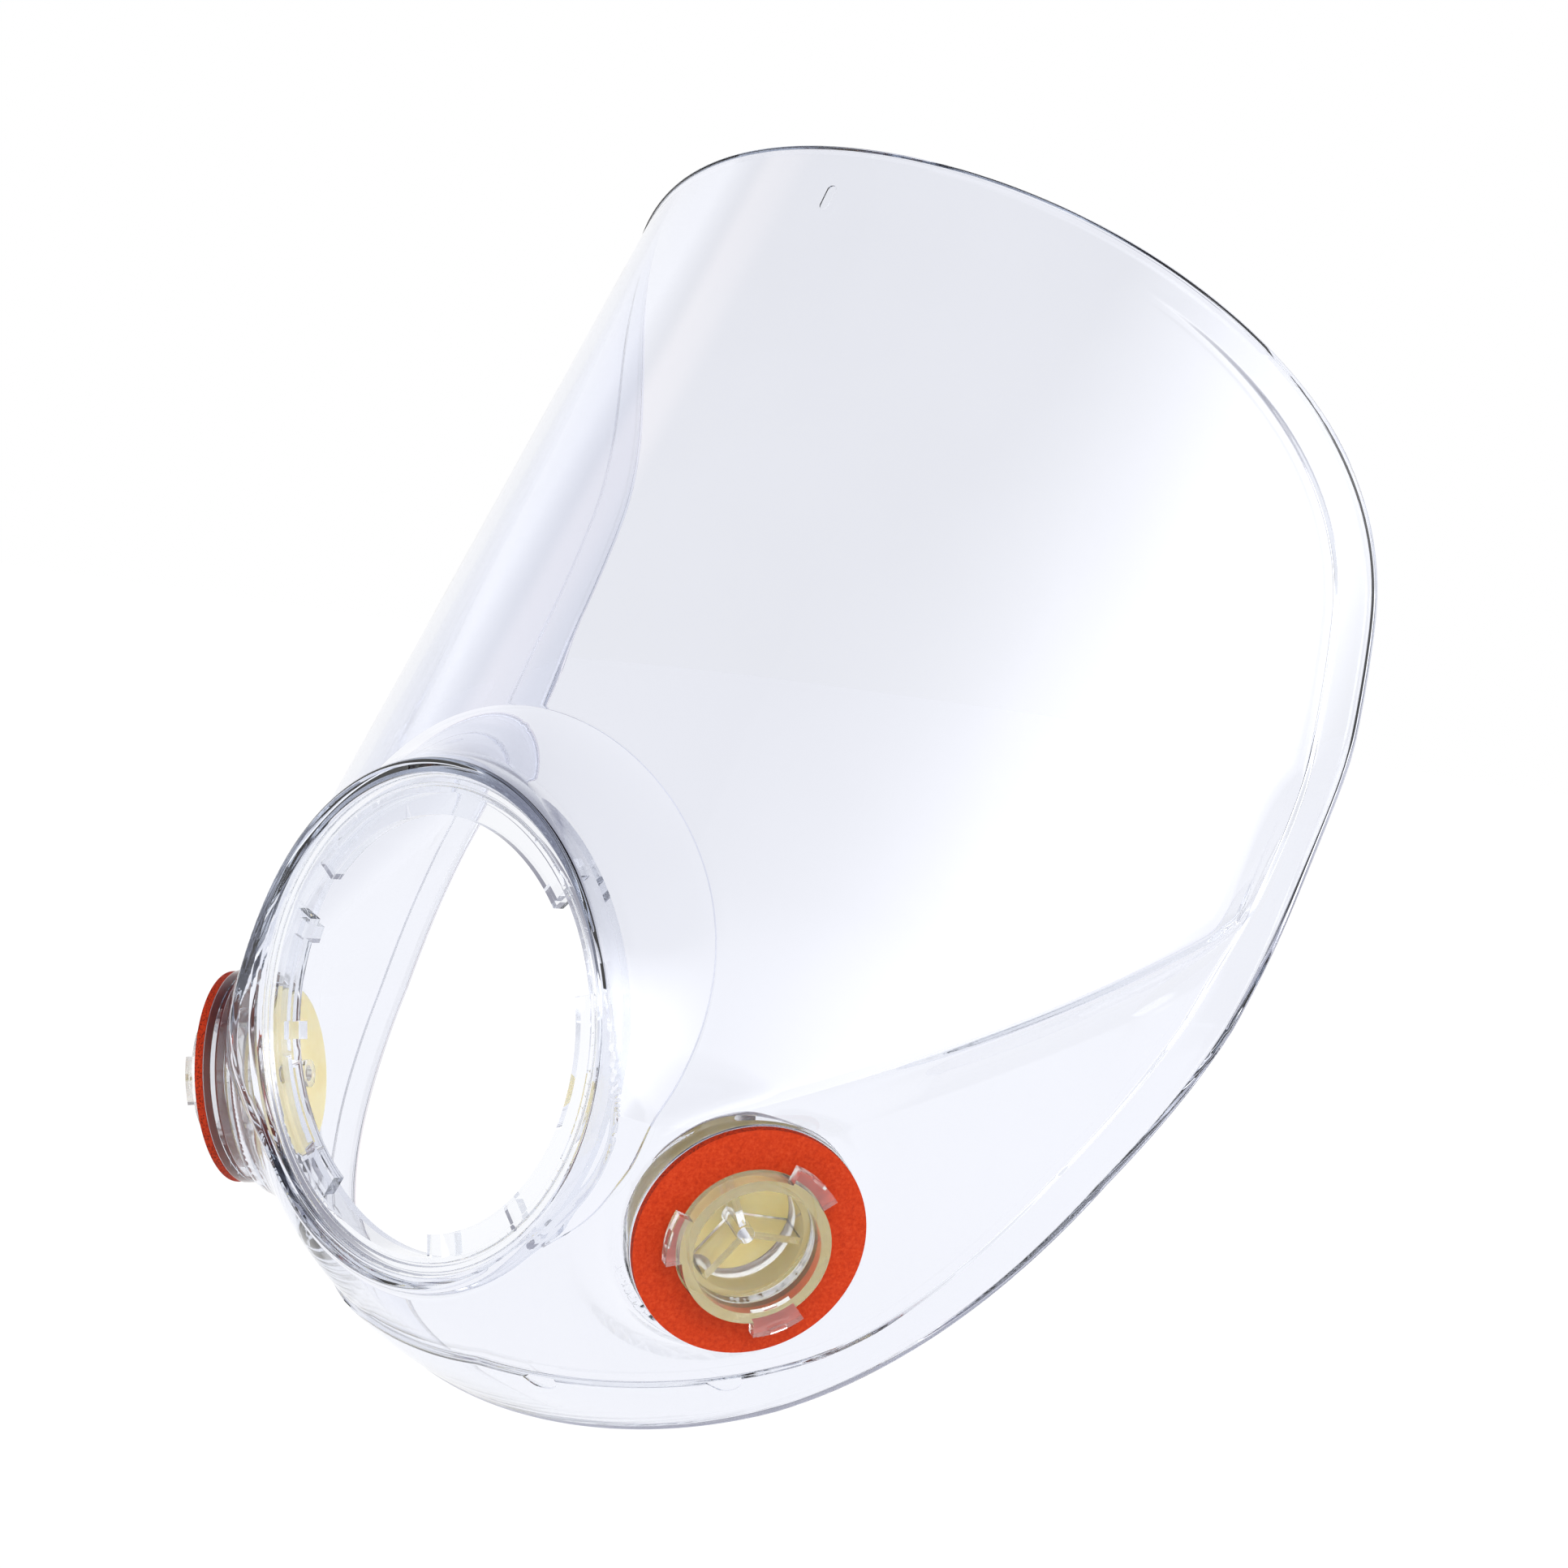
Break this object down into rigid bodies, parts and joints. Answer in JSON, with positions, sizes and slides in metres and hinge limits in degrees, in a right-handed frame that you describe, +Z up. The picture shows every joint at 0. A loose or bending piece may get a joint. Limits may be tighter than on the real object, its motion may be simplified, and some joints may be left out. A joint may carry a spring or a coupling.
{
  "type": "full-face respirator lens assembly",
  "caption": "Clear moulded visor and jaw with a round bayonet port in front and a gasketed bayonet filter port with inhalation valve on each cheek.",
  "frame": {"origin": "centre of the centre port's front lip", "axes": "+X is the wearer's left, -Y is the way the centre port faces, +Z is up towards the forehead"},
  "size_m": [0.21, 0.1325, 0.2451],
  "materials": {
    "clear_moulding": "clear polished polycarbonate with a faint blue-grey tint",
    "clear_ring": "clear moulded polycarbonate",
    "milky_collar": "translucent milky plastic",
    "gasket_rubber": "matt orange-red silicone rubber with a die-cut edge",
    "valve_rubber": "satin cream silicone rubber"
  },
  "bodies": {
    "mask": {"lens": "clear_moulding", "port_ring": "clear_ring", "left_bayonet_collar": "milky_collar", "left_gasket": "gasket_rubber", "right_bayonet_collar": "milky_collar", "right_gasket": "gasket_rubber"},
    "left_valve_flap": {"left_valve_flap": "valve_rubber"},
    "right_valve_flap": {"right_valve_flap": "valve_rubber"}
  },
  "joints": [
    {"name": "left_flap_lift", "type": "slide", "parent": "mask", "child": "left_valve_flap", "axis": [-0.859, 0.4664, 0.2113], "range_m": [0, 0.002], "stiffness_N_per_m": 5},
    {"name": "right_flap_lift", "type": "slide", "parent": "mask", "child": "right_valve_flap", "axis": [0.859, 0.4664, 0.2113], "range_m": [0, 0.002], "stiffness_N_per_m": 5}
  ]
}
